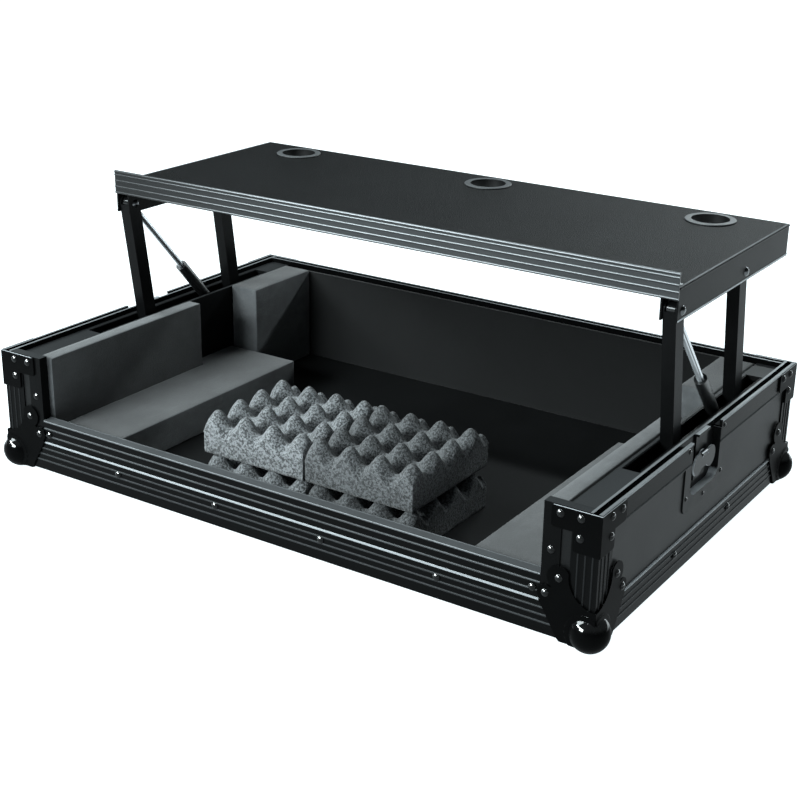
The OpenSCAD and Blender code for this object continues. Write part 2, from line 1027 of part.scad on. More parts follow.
module strut_cylinders() {
    mouth = strut_l - tube_l;
    tube_end = strut_l - tail_neck;
    slot_r = bolt_d / 2 + slack;
    color("#141517")
    for (side = [0, 1])
        on_strut(side)
        difference() {
            union() {
                along_strut(mouth, tube_end, tube_d / 2);
                box(-tail_t / 2, tube_end, -tail_r, tail_t / 2, strut_l + strut_play, tail_r);
                rod(-tail_t / 2, tail_t / 2, strut_l + strut_play, 0, tail_r);
            }
            along_strut(mouth - cut, mouth + gland_l + cut, rod_d / 2 + fit);
            along_strut(mouth + gland_l, tube_end - tail_plug, tube_d / 2 - tube_wall);
            box(-tail_t, strut_l, -slot_r, tail_t, strut_l + strut_play, slot_r);
            for (y = [strut_l, strut_l + strut_play])
                rod(-tail_t, tail_t, y, 0, slot_r);
        }
}

module grommet_at() {
    for (x = [-grommet_out, 0, grommet_out])
        translate([x, grommet_y, 0])
            children();
}

module shelf_board() {
    color("#1e2022")
    difference() {
        box(-board_half, shelf_front, shelf_z, board_half, shelf_rear, shelf_top);
        grommet_at()
        translate([0, 0, shelf_z - cut])
            cylinder(h = shelf_t + 2 * cut, d = (grommet_d + grommet_hole) / 2);
    }
}

module shelf_front_rail() {
    low_z = shelf_z - lift_t;
    top_z = shelf_top + stop_h;
    color("#1c1e21")
    along_wall(-90, -shelf_front, 2 * shelf_half) {
        rect(-lift_t, low_z, 0, top_z);
        rect(0, shelf_top, stop_flange, shelf_top + lift_t);
        translate([-lift_t, 0])
            ribs(stop_ribs, low_z + rib_r, stop_pitch);
        translate([-lift_t / 2, top_z])
            circle(r = bead_r);
    }
}

module shelf_channel() {
    y0 = shelf_front;
    y1 = shelf_rear;
    outer = shelf_half;
    inner = lift_x - lift_half;
    color("#1c1e21")
    difference() {
        union() {
            box(board_half, y0, channel_low, outer, y1, shelf_top);
            box(inner, y0, channel_low, inner + lift_t, y1, shelf_z);
            box(inner, y0, shelf_z - lift_t, outer, y1, shelf_z);
            for (z = [channel_low + 1.5 * rib_r, shelf_top - 1.5 * rib_r])
                translate([outer - rib_r + rib_h, y1, z])
                rotate([90, 0, 0])
                    cylinder(h = y1 - y0, r = rib_r);
        }
        for (p = shelf_pins())
            rod(inner - cut, outer + cut, p[0], p[1], bore_r);
    }
}

module shelf_right_channel() {
    shelf_channel();
}

module shelf_left_channel() {
    mirror([1, 0, 0])
        shelf_channel();
}

module cable_grommets() {
    hole_r = grommet_hole / 2;
    ring_r = grommet_d / 2;
    neck_r = (grommet_d + grommet_hole) / 4;
    color("#141517")
    grommet_at()
    rotate_extrude()
    union() {
        translate([hole_r, shelf_z])
            square([neck_r - hole_r, shelf_t]);
        translate([hole_r, shelf_top])
            square([ring_r - hole_r - grommet_round, grommet_lip]);
        translate([hole_r, shelf_top])
            square([ring_r - hole_r, grommet_lip - grommet_round]);
        translate([ring_r - grommet_round, shelf_top + grommet_lip - grommet_round])
            circle(r = grommet_round);
    }
}

module shelf_pivot_bolts() {
    color("#8a8d90")
    for (side = [0, 1], p = shelf_pins())
        mirror([side, 0, 0]) {
            rod(lift_x - lift_half, lift_x + lift_half, p[0], p[1], bolt_d / 2);
            rivet_on_wall(0, lift_x + lift_half, p[0], p[1], 2 * bolt_head_r, bolt_head_t);
            rivet_on_wall(180, lift_half - lift_x, -p[0], p[1], 2 * bolt_head_r, bolt_head_t);
        }
}

module latch_dish(side) {
    flange_low = rim_z - dish_drop;
    color("#1b1c1e")
    mirror([side, 0, 0])
    difference() {
        union() {
            on_wall(0, panel_in_x, panel_t)
                recess_outline(dish_t - slack, panel_top);
            on_wall(0, panel_x, rail_t)
            intersection() {
                round_rect(
                    latch_y - dish_w / 2, flange_low, latch_y + dish_w / 2, rim_z, dish_round
                );
                union() {
                    rect(latch_y - dish_w, 0, latch_y + dish_w, top_rail_z);
                    rect(latch_y - notch_w / 2 + slack, 0, latch_y + notch_w / 2 - slack, panel_top);
                }
            }
        }
        on_wall(0, recess_x, panel_t + rail_t + cut)
            recess_outline(0, rim_z);
        rod(panel_in_x - cut, recess_x + cut, latch_y, latch_z, shaft_r + fit);
    }
}

module latch_rotor(side) {
    lug_y = knuckle_l / 2 + lug_gap;
    color("#2a2c2e")
    mirror([side, 0, 0])
    union() {
        rod(panel_in_x, disc_x, latch_y, latch_z, shaft_r);
        rod(disc_x, disc_x + disc_t, latch_y, latch_z, disc_r);
        for (y = [latch_y - lug_y - lug_t, latch_y + lug_y]) {
            translate([wing_axis_x, y + lug_t, wing_axis_z])
            rotate([90, 0, 0])
                cylinder(h = lug_t, r = knuckle_r);
            box(disc_x + disc_t, y, wing_axis_z - knuckle_r, wing_axis_x, y + lug_t, wing_axis_z);
        }
        translate([wing_axis_x, latch_y + lug_y + lug_t, wing_axis_z])
        rotate([90, 0, 0])
            cylinder(h = 2 * (lug_y + lug_t), r = wing_pin_r);
    }
}

module latch_wing(side) {
    lug_room = knuckle_l / 2 + 2 * lug_gap + lug_t;
    color("#c2c5c7")
    mirror([side, 0, 0])
    difference() {
        union() {
            on_wall(0, wing_x, wing_t) {
                for (s = [-1, 1])
                    translate([latch_y + s * wing_lobe_out, latch_z])
                        circle(r = wing_lobe_r);
                rect(latch_y - wing_lobe_out, latch_z - wing_waist, latch_y + wing_lobe_out, wing_axis_z);
            }
            translate([wing_axis_x, latch_y + knuckle_l / 2, wing_axis_z])
            rotate([90, 0, 0])
                cylinder(h = knuckle_l, r = knuckle_r);
        }
        for (s = [-1, 1])
            translate([wing_axis_x, latch_y + s * (knuckle_l / 2 + lug_room) / 2, wing_axis_z])
            rotate([90, 0, 0])
                cylinder(h = lug_room - knuckle_l / 2, r = knuckle_r + wing_t, center = true);
        translate([wing_axis_x, latch_y + knuckle_l, wing_axis_z])
        rotate([90, 0, 0])
            cylinder(h = 2 * knuckle_l, r = wing_pin_r + fit);
    }
}

module latch_hook(side) {
    low_z = latch_z - hook_tail;
    slot_r = shaft_r + slack;
    color("#2a2c2e")
    mirror([side, 0, 0])
    difference() {
        union() {
            box(hook_x, latch_y - hook_w / 2, low_z, hook_x + hook_t, latch_y + hook_w / 2, rim_z);
            box(
                hook_x, latch_y - hook_w / 2, rim_z - hook_lip,
                hook_x + hook_t + hook_lip, latch_y + hook_w / 2, rim_z
            );
        }
        box(
            hook_x - cut, latch_y - slot_r, latch_z - hook_travel,
            hook_x + hook_t + cut, latch_y + slot_r, latch_z
        );
        for (z = [latch_z - hook_travel, latch_z])
            rod(hook_x - cut, hook_x + hook_t + cut, latch_y, z, slot_r);
    }
}

module left_latch_dish() {
    latch_dish(1);
}

module left_latch_rotor() {
    latch_rotor(1);
}

module left_latch_wing() {
    latch_wing(1);
}

module left_latch_hook() {
    latch_hook(1);
}

module right_latch_dish() {
    latch_dish(0);
}

module right_latch_rotor() {
    latch_rotor(0);
}

module right_latch_wing() {
    latch_wing(0);
}

module right_latch_hook() {
    latch_hook(0);
}

base_panel();
left_wall();
right_wall();
rear_wall();
front_wall();
left_front_post();
right_front_post();
front_bottom_rail();
rear_bottom_rail();
left_bottom_rail();
right_bottom_rail();
front_sill_rail();
left_top_rail();
right_top_rail();
rear_top_rail();
rim_bridges();
post_trims();
corner_uprights();
corner_braces();
front_left_ball_corner();
front_right_ball_corner();
rear_left_ball_corner();
rear_right_ball_corner();
rivets();
left_ledge();
right_ledge();
left_lift_bracket();
right_lift_bracket();
case_pivot_bolts();
left_side_foam();
right_side_foam();
left_floor_foam();
right_floor_foam();
left_corner_foam();
right_corner_foam();
rear_lining();
lower_left_egg_foam();
lower_right_egg_foam();
upper_left_egg_foam();
upper_right_egg_foam();
left_front_arm();
right_front_arm();
left_rear_arm();
right_rear_arm();
strut_rods();
strut_cylinders();
shelf_board();
shelf_front_rail();
shelf_left_channel();
shelf_right_channel();
cable_grommets();
shelf_pivot_bolts();
left_latch_dish();
left_latch_rotor();
left_latch_wing();
left_latch_hook();
right_latch_dish();
right_latch_rotor();
right_latch_wing();
right_latch_hook();
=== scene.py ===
import itertools
import json
import math

import bmesh
import bpy
from mathutils import Matrix, Vector, noise


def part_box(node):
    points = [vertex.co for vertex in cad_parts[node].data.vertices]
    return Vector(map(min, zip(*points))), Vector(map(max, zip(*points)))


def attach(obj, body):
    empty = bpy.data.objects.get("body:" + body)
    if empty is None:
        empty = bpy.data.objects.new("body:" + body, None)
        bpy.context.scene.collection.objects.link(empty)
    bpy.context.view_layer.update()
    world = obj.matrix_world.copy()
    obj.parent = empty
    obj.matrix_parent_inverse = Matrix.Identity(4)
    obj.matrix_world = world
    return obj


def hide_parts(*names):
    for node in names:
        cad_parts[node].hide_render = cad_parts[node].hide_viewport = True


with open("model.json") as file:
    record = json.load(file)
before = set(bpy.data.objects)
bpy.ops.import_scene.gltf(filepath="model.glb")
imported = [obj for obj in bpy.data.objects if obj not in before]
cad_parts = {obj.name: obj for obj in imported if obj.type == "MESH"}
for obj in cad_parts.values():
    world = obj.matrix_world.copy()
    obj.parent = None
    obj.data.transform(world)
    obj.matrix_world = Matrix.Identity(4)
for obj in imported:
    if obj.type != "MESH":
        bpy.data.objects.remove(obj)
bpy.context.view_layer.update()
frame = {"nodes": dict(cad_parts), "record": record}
nodes = frame["nodes"]
print("frame loaded:", len(nodes), "nodes")

# camera and light

cameraView = {
    "place": (0.93435, -1.42562, 0.75824),
    "azimuth": 33.170,
    "elevation": 21.266,
    "roll": 0.944,
    "lens": 67.54,
    "sensor": 36,
    "clip": (0.05, 80),
}

studioAir = {"colour": (0.86, 0.97, 1.0, 1), "strength": 0.06}

softbox = {"colour": (0.88, 0.98, 1.0), "aim": (0, 0, 0.1)}
studioLights = [
    {"name": "key", "place": (-0.7, -2.1, 1.1), "size": (0.9, 0.5), "power": 42},
    {"name": "frontStrip", "place": (-1.4, -1.8, 1.35), "size": (2.4, 0.13), "power": 56},
    {"name": "leftHigh", "place": (-1.6, -0.6, 1.85), "size": (1.4, 1.4), "power": 28},
    {"name": "backStrip", "place": (0.25, 2.1, 1.5), "size": (1.9, 0.12), "power": 30},
    {"name": "overhead", "place": (0.4, -0.85, 2.3), "aim": (0.2, 0, 0.1), "size": (0.5, 0.4), "power": 7},
    {"name": "backLow", "place": (0.3, 2.4, 0.5), "aim": (0.2, 0, 0.05), "size": (0.6, 0.9), "power": 10},
]


def aimCamera(view):
    azimuth, elevation, roll = (math.radians(view[key]) for key in ("azimuth", "elevation", "roll"))
    back = Vector((
        math.sin(azimuth) * math.cos(elevation),
        -math.cos(azimuth) * math.cos(elevation),
        math.sin(elevation),
    ))
    right = (-back).cross(Vector((0, 0, 1))).normalized()
    up = right.cross(-back)
    across = right * math.cos(roll) + up * math.sin(roll)
    above = up * math.cos(roll) - right * math.sin(roll)
    data = bpy.data.cameras.new("camera")
    data.lens = view["lens"]
    data.sensor_width = view["sensor"]
    data.clip_start, data.clip_end = view["clip"]
    camera = bpy.data.objects.new("camera", data)
    bpy.context.scene.collection.objects.link(camera)
    turn = Matrix((across, above, back)).transposed().to_4x4()
    camera.matrix_world = Matrix.Translation(view["place"]) @ turn
    bpy.context.scene.camera = camera


def hangLight(look):
    data = bpy.data.lights.new(look["name"], "AREA")
    data.shape = "RECTANGLE"
    data.size, data.size_y = look["size"]
    data.energy = look["power"]
    data.color = look["colour"]
    light = bpy.data.objects.new(look["name"], data)
    bpy.context.scene.collection.objects.link(light)
    light.location = look["place"]
    light.visible_camera = False
    toward = Vector(look["aim"]) - Vector(look["place"])
    light.rotation_euler = toward.to_track_quat("-Z", "Y").to_euler()


def fillAir(look):
    world = bpy.data.worlds.new("studioAir")
    world.use_nodes = True
    air = world.node_tree.nodes["Background"]
    air.inputs["Color"].default_value = look["colour"]
    air.inputs["Strength"].default_value = look["strength"]
    bpy.context.scene.world = world


aimCamera(cameraView)
fillAir(studioAir)
for look in studioLights:
    hangLight({**softbox, **look})
bpy.context.scene.view_settings.view_transform = "Standard"
bpy.context.scene.view_settings.look = "None"
print("camera and lights placed")


def cool(value):  # a grey with the faint blue green cast of the photograph
    return (value * 0.95, value, value * 1.04, 1)


# shader tools

class Wire:  # one socket; sums, products and so on add their Math nodes
    def __init__(self, finish, socket):
        self.finish = finish
        self.socket = socket

    def maths(self, operation, first, second):
        return self.finish.add("Math", {"operation": operation}, {0: first, 1: second})

    def __add__(self, other):
        return self.maths("ADD", self, other)

    def __radd__(self, other):
        return self.maths("ADD", other, self)

    def __sub__(self, other):
        return self.maths("SUBTRACT", self, other)

    def __rsub__(self, other):
        return self.maths("SUBTRACT", other, self)

    def __mul__(self, other):
        return self.maths("MULTIPLY", self, other)

    def __rmul__(self, other):
        return self.maths("MULTIPLY", other, self)

    def __abs__(self):
        return self.maths("ABSOLUTE", self, 0)


class Finish:
    def __init__(self, name, constants):
        self.material = bpy.data.materials.new(name)
        self.material.use_nodes = True
        self.tree = self.material.node_tree
        self.tree.nodes.clear()
        self.shader = self.tree.nodes.new("ShaderNodeBsdfPrincipled")
        surface = self.tree.nodes.new("ShaderNodeOutputMaterial")
        self.tree.links.new(self.shader.outputs[0], surface.inputs[0])
        self.set(constants)
        self.place = self.add("TexCoord", {}, {}, 3)

    def plug(self, socket, value):
        if isinstance(value, Wire):
            self.tree.links.new(value.socket, socket)
        else:
            socket.default_value = value

    def set(self, inputs):
        for name, value in inputs.items():
            self.plug(self.shader.inputs[name], value)

    def add(self, kind, settings, inputs, output=0):
        made = self.tree.nodes.new("ShaderNode" + kind)
        for name, value in settings.items():
            if name == "stops":
                self.setStops(made.color_ramp, value)
            else:
                setattr(made, name, value)
        for name, value in inputs.items():
            self.plug(made.inputs[name], value)
        return Wire(self, made.outputs[output])

    def setStops(self, ramp, stops):
        while len(ramp.elements) < len(stops):
            ramp.elements.new(1)
        for element, (position, colour) in zip(ramp.elements, stops):
            element.position = position
            element.color = colour

    def stretched(self, scale):
        return self.add("Mapping", {}, {"Vector": self.place, "Scale": scale})

    def cloud(self, scale, detail=2, roughness=0.5, place=None):
        return self.add("TexNoise", {}, {
            "Vector": place or self.place, "Scale": scale, "Detail": detail, "Roughness": roughness,
        })

    def cells(self, scale):
        return self.add("TexVoronoi", {}, {"Vector": self.place, "Scale": scale})

    def fade(self, value, start, end):  # 0 at the start, 1 at the end
        smooth = {"interpolation_type": "SMOOTHSTEP"}
        return self.add("MapRange", smooth, {0: value, 1: start, 2: end, 3: 0, 4: 1})

    def along(self, axis):  # the place along an axis, in metres
        return self.add("SeparateXYZ", {}, {0: self.place}, axis)

    def facing(self, axis):  # how far the surface faces along an axis, -1 to 1
        return self.add("SeparateXYZ", {}, {0: self.add("TexCoord", {}, {}, 1)}, axis)

    def steps(self, value, stops):
        greys = [(place, (level, level, level, 1)) for place, level in stops]
        return self.add("ValToRGB", {"stops": greys}, {0: value})

    def tint(self, factor, first, second):
        return self.add("Mix", {"data_type": "RGBA"}, {0: factor, 6: first, 7: second}, 2)

    def greys(self, factor, dark, light):
        return self.tint(factor, cool(dark), cool(light))

    def relief(self, height, depth, strength=1):
        bump = self.add("Bump", {}, {"Height": height, "Distance": depth, "Strength": strength})
        self.set({"Normal": bump})


# finishes; the settings hold linear tones, roughness and lengths in metres

laminateLook = {
    "dark": 0.003,
    "light": 0.009,
    "top": 0.05,         # tone of the faces that look up: painted light
    "lit": (-0.3, 0.3),  # painted light: those faces brighten from left to right between these places
    "gloss": 0.32,
    "pebble": 700,
    "depth": 0.00008,
}


def panelLaminate(name, paintedTops=0):  # the second argument is the share of the top tone, painted light on faces that look up
    finish = Finish(name, {"Specular IOR Level": 0.07})
    patches = finish.cloud(9, 4, 0.6)
    pebble = finish.cells(laminateLook["pebble"])
    fine = finish.cloud(2600, 3, 0.6)
    lit = finish.fade(finish.along(0), *laminateLook["lit"]) * 0.7 + 0.3
    # painted light: faces that look up are lighter, and lighter to the right
    paintedTopLight = finish.fade(finish.facing(2), 0.5, 0.9) * lit * (patches * 0.6 + 0.7) * paintedTops
    walls = finish.greys(patches * 0.6 + pebble * 0.5, laminateLook["dark"], laminateLook["light"])
    finish.set({
        "Base Color": finish.tint(paintedTopLight, walls, cool(laminateLook["top"])),
        "Roughness": patches * 0.12 + fine * 0.08 + laminateLook["gloss"],
    })
    finish.relief(pebble + fine * 0.5, laminateLook["depth"], 0.7)
    return finish.material


boardLook = {"dark": 0.004, "light": 0.014, "gloss": 0.6, "fibre": 900, "depth": 0.00012}


def baseBoard():
    finish = Finish("baseBoard", {"Specular IOR Level": 0.1})
    patches = finish.cloud(14, 5, 0.6)
    fibres = finish.cloud(boardLook["fibre"], 3, 0.7, finish.stretched((0.15, 1, 1)))
    finish.set({
        "Base Color": finish.greys(patches * 0.7 + fibres * 0.3, boardLook["dark"], boardLook["light"]),
        "Roughness": patches * 0.15 + boardLook["gloss"],
    })
    finish.relief(fibres, boardLook["depth"], 0.6)
    return finish.material


railLook = {
    "dark": 0.0015,
    "light": 0.004,
    "crest": 0.34,      # tone of rubbed metal and of painted highlights
    "metal": 0.45,
    "gloss": 0.2,
    "drawn": 90,        # fineness of the streaks across the rail
    "depth": 0.00003,
    "wide": 0.4003,     # ribs that stand past these places are rubbed and get painted highlights
    "deep": 0.2603,
    "soft": 0.0003,     # how softly the rubbed ribs and their painted highlights begin
    "rubSoft": 0.0004,  # and the rubbed flats with painted highlights
    "top": 0.16,        # the height at place 1 of the tables below
    "unrubbed": 0.9,    # a height that no rail reaches
}
# how bright the rubbed crests and their painted highlights are at each height
bottomCrests = [(0, 0.06), (0.262, 0.08), (0.272, 0.9), (0.293, 1)]
bottomRubbed = 0.045
sillCrests = [(0.29, 0.12), (0.43, 0.16), (0.455, 0.3), (0.48, 0.3)]
rimCrests = [(0.78, 0.06), (0.9, 0.1), (0.94, 0.5), (0.95, 1)]
uprightCrests = [(0, 0.02), (1, 0.035)]
postCrests = [(0.93, 0.02), (0.95, 0.14)]


def railBlack(name, axis, crests, rubbedAndPaintedLight=railLook["unrubbed"]):  # flats above the given height are rubbed and painted bright too
    finish = Finish(name, {"Specular IOR Level": 0.02})
    drawn = [railLook["drawn"]] * 3
    drawn[axis] = 0.8
    streaks = finish.cloud(12, 4, 0.7, finish.stretched(drawn))
    patches = finish.cloud(18, 4, 0.6)
    soft = railLook["soft"]
    sides = finish.fade(abs(finish.along(0)), railLook["wide"], railLook["wide"] + soft)
    ends = finish.fade(abs(finish.along(1)), railLook["deep"], railLook["deep"] + soft)
    # faces that look up get painted highlights
    edge = finish.fade(finish.facing(2), 0.2, 0.5)
    level = finish.steps(finish.along(2) * (1 / railLook["top"]), crests)
    rubAndHighlight = finish.fade(finish.along(2), rubbedAndPaintedLight, rubbedAndPaintedLight + railLook["rubSoft"])
    # rubbed wear and painted highlights: crests, upward faces and high flats turn light and metallic
    wearAndPaintedLight = ((ends + sides + edge) * level + rubAndHighlight * 0.8) * (patches * 0.5 + 0.7)
    black = finish.greys(streaks, railLook["dark"], railLook["light"])
    finish.set({
        "Base Color": finish.tint(wearAndPaintedLight, black, cool(railLook["crest"])),
        "Metallic": wearAndPaintedLight * railLook["metal"],
        "Roughness": wearAndPaintedLight * 0.25 + streaks * 0.1 + railLook["gloss"],
    })
    finish.relief(streaks, railLook["depth"], 0.5)
    return finish.material


stopLook = {
    "shade": 0.002,        # tone of the painted shade at the dark left end
    "dark": 0.018,
    "light": 0.05,
    "crest": 0.3,
    "lit": (-0.38, -0.05),
    "metal": 0.6,
    "gloss": 0.32,
    "depth": 0.00003,
}


def stopRail():  # satin front rail of the shelf, with painted shade to the left and painted highlights on faces that look up
    finish = Finish("stopRail", {"Specular IOR Level": 0.3})
    streaks = finish.cloud(12, 4, 0.7, finish.stretched((0.8, railLook["drawn"], railLook["drawn"])))
    patches = finish.cloud(14, 4, 0.6)
    # painted light: the rail is darker at its left end and lighter to the right
    lit = finish.fade(finish.along(0), *stopLook["lit"])
    # painted highlight on the faces that look up, stronger to the right
    crest = finish.fade(finish.facing(2), 0.1, 0.6) * (lit * 0.9 + 0.1)
    satin = finish.greys(streaks * 0.7 + patches * 0.3, stopLook["dark"], stopLook["light"])
    face = finish.tint(lit * 0.75 + 0.25, cool(stopLook["shade"]), satin)
    finish.set({
        "Base Color": finish.tint(crest, face, cool(stopLook["crest"])),
        "Metallic": crest * 0.2 + stopLook["metal"],
        "Roughness": streaks * 0.12 + patches * 0.08 + stopLook["gloss"],
    })
    finish.relief(streaks, stopLook["depth"], 0.5)
    return finish.material


cornerLook = {
    "base": 0.0012,
    "gloss": 0.3,
    "wearAndPaintedLight": 0.05,              # tone of the braces' tops, painted light on faces that look up
    "line": 0.5,               # tone of their upper edge, a painted highlight
    "edge": (0.1511, 0.1517),  # where that painted highlight begins, just under the rim
    "peel": 420,
    "depth": 0.00002,
}


def cornerGloss(name, wearAndPaintedLight=0):  # the second argument is 1 on the braces, which get painted light on their tops and a painted highlight along their upper edge
    finish = Finish(name, {"Specular IOR Level": 0.01, "Coat Roughness": 0.06, "Coat IOR": 2.2})
    patches = finish.cloud(30, 3, 0.5)
    # painted light on the braces' tops and a painted highlight line along their upper edge
    paintedTops = finish.fade(finish.facing(2), 0.8, 0.95) * wearAndPaintedLight
    edge = finish.fade(finish.along(2), *cornerLook["edge"]) * wearAndPaintedLight
    paint = finish.greys(patches, cornerLook["base"], cornerLook["base"] * 1.8)
    rubbedAndPaintedLight = finish.greys(paintedTops, cornerLook["line"], cornerLook["wearAndPaintedLight"])
    finish.set({
        "Base Color": finish.tint(edge, paint, rubbedAndPaintedLight),
        "Roughness": patches * 0.08 + cornerLook["gloss"],
        "Coat Weight": finish.fade(finish.facing(2), 0.38, 0.62) * (1 - paintedTops),
    })
    finish.relief(finish.cloud(cornerLook["peel"], 2, 0.5), cornerLook["depth"], 0.4)
    return finish.material


rivetLook = {"dark": 0.0028, "light": 0.0056, "gloss": 0.3, "depth": 0.00004}


def rivetSteel():
    finish = Finish("rivetSteel", {"Specular IOR Level": 0.1, "Coat Roughness": 0.08, "Coat IOR": 2.6})
    patches = finish.cloud(300, 3, 0.6)
    finish.set({
        "Base Color": finish.greys(patches, rivetLook["dark"], rivetLook["light"]),
        "Roughness": patches * 0.16 + rivetLook["gloss"],
        "Coat Weight": finish.fade(finish.facing(2), 0.2, 0.4),
    })
    finish.relief(patches, rivetLook["depth"], 0.4)
    return finish.material


liftLook = {
    "dark": 0.002,
    "light": 0.006,
    "line": 0.5,                # tone of the painted highlights on the ribs
    "gloss": 0.18,
    "peel": 900,
    "depth": 0.00005,
    "edge": (-0.0006, -0.0003),  # a channel's ribs stand out past this from its side
    "foot": (0.004, 0.007),      # height of its lower rib
    "head": (-0.0006, -0.0002),  # its upper edge
    "nowhere": 9,
}


def liftPaint(name, side=liftLook["nowhere"], low=0, high=liftLook["nowhere"]):  # painted highlights on the ribs of a channel
    finish = Finish(name, {"Specular IOR Level": 0.03})
    patches = finish.cloud(25, 4, 0.6)
    peel = finish.cloud(liftLook["peel"], 3, 0.6)
    out = finish.fade(abs(finish.along(0)), *(side + shift for shift in liftLook["edge"]))
    height = finish.along(2)
    foot = 1 - finish.fade(height, *(low + shift for shift in liftLook["foot"]))
    head = finish.fade(height, *(high + shift for shift in liftLook["head"]))
    # painted highlights along the lower rib and the upper edge
    paintedHighlights = out * foot + head * 0.35
    paint = finish.greys(patches, liftLook["dark"], liftLook["light"])
    finish.set({
        "Base Color": finish.tint(paintedHighlights * (patches * 0.5 + 0.7), paint, cool(liftLook["line"])),
        "Roughness": peel * 0.16 + patches * 0.1 + liftLook["gloss"],
    })
    finish.relief(peel, liftLook["depth"], 0.6)
    return finish.material


boltLook = {"dark": 0.054, "light": 0.117, "gloss": 0.12, "depth": 0.00003}


def boltSteel():
    finish = Finish("boltSteel", {"Metallic": 1.0})
    patches = finish.cloud(420, 4, 0.6)
    finish.set({
        "Base Color": finish.greys(patches, boltLook["dark"], boltLook["light"]),
        "Roughness": patches * 0.2 + boltLook["gloss"],
    })
    finish.relief(patches, boltLook["depth"], 0.4)
    return finish.material


foamLook = {
    "dark": 0.08,
    "light": 0.16,
    "scuff": 0.216,
    "gloss": 0.88,
    "cell": 600,
    "pore": 900,
    "depth": 0.0004,
}
# painted light and shade: shares of the tone on faces across X, Y and Z
plankShares = (0.75, 0.9, 0.42)
sideShares = (0.24, 1, 0.85)


def foamPlank(name, shares):
    finish = Finish(name, {"Specular IOR Level": 0.2, "Sheen Weight": 0.25, "Sheen Roughness": 0.6})
    patches = finish.fade(finish.cloud(22, 5, 0.65), 0.3, 0.7)
    fine = finish.cloud(foamLook["cell"], 4, 0.75)
    scuffs = finish.fade(finish.cloud(60, 4, 0.7, finish.stretched((1, 0.35, 1))), 0.52, 0.72)
    # painted light and shade: each face is lighter or darker by the way it faces
    paintedFacingShade = 0
    for axis, share in enumerate(shares):
        paintedFacingShade = finish.fade(abs(finish.facing(axis)), 0.3, 0.8) * share + paintedFacingShade
    foam = finish.greys(patches * 0.6 + fine * 0.4, foamLook["dark"], foamLook["light"])
    scuffed = finish.tint(scuffs * 0.35, foam, cool(foamLook["scuff"]))
    finish.set({
        "Base Color": finish.tint(paintedFacingShade, cool(0), scuffed),
        "Roughness": fine * 0.1 + foamLook["gloss"],
    })
    finish.relief(fine + finish.cells(foamLook["pore"]) * 0.6, foamLook["depth"], 0.8)
    return finish.material


liningLook = {"dark": 0.002, "light": 0.009, "gloss": 0.88, "fuzz": 1700, "depth": 0.0002}


def wallLining():
    finish = Finish("wallLining", {"Specular IOR Level": 0.15, "Sheen Weight": 0.15, "Sheen Roughness": 0.6})
    patches = finish.cloud(11, 5, 0.65)
    fuzz = finish.cloud(liningLook["fuzz"], 4, 0.75)
    shade = patches * 0.5 + finish.fade(fuzz, 0.35, 0.65) * 0.5
    finish.set({
        "Base Color": finish.greys(shade, liningLook["dark"], liningLook["light"]),
        "Roughness": fuzz * 0.1 + liningLook["gloss"],
    })
    finish.relief(fuzz, liningLook["depth"], 0.8)
    return finish.material


eggLook = {"gloss": 0.86, "pore": 430, "cell": 620, "depth": 0.0012}
# dark and light tone of each pair of blocks
leftEggTones = (0.02, 0.27)
rightEggTones = (0.010, 0.13)


def eggFoamFinish(name, tones):
    finish = Finish(name, {"Specular IOR Level": 0.2, "Sheen Weight": 0.2, "Sheen Roughness": 0.6})
    pores = finish.cloud(eggLook["pore"], 3, 0.7)
    specks = finish.fade(pores, 0.42, 0.58)
    patches = finish.cloud(24, 4, 0.6)
    finish.set({
        "Base Color": finish.greys(specks * 0.85 + patches * 0.25, *tones),
        "Roughness": pores * 0.1 + eggLook["gloss"],
    })
    finish.relief(pores + finish.cells(eggLook["cell"]) * 0.6, eggLook["depth"], 0.9)
    return finish.material


rodLook = {
    "dark": 0.48,
    "light": 0.69,
    # the next tone is that of a painted dark reflection
    "paintedDarkEdge": 0.01,
    "metal": 0.6,
    "gloss": 0.16,
    "head": (0.276, 0.281),  # the heights between which the rod's eye turns dark
    "depth": 0.00001,
}


def rodChrome():
    finish = Finish("rodChrome", {"Metallic": rodLook["metal"]})
    streaks = finish.cloud(30, 4, 0.7, finish.stretched((30, 2, 2)))
    side = finish.facing(0)
    # a painted dark reflection along the side of the rod that faces along X
    paintedDarkEdge = finish.fade(side, 0.66, 0.8) * (0.85 - finish.fade(side, 0.88, 0.96) * 0.85)
    head = finish.fade(finish.along(2), *rodLook["head"])
    chrome = finish.greys(streaks, rodLook["dark"], rodLook["light"])
    finish.set({
        "Base Color": finish.tint(finish.tint(head, paintedDarkEdge, (1, 1, 1, 1)), chrome, cool(rodLook["paintedDarkEdge"])),
        "Roughness": streaks * 0.1 + rodLook["gloss"],
    })
    finish.relief(streaks, rodLook["depth"], 0.3)
    return finish.material


tubeLook = {"dark": 0.0056, "light": 0.0112, "gloss": 0.22, "peel": 900, "depth": 0.00003}


def tubeBlack():
    finish = Finish("tubeBlack", {"Specular IOR Level": 0.5})
    patches = finish.cloud(60, 3, 0.6)
    finish.set({
        "Base Color": finish.greys(patches, tubeLook["dark"], tubeLook["light"]),
        "Roughness": patches * 0.15 + tubeLook["gloss"],
    })
    finish.relief(finish.cloud(tubeLook["peel"], 3, 0.6), tubeLook["depth"], 0.5)
    return finish.material


shelfLook = {"dark": 0.001, "light": 0.032, "gloss": 0.48, "grit": 480, "pebble": 820, "depth": 0.0005}


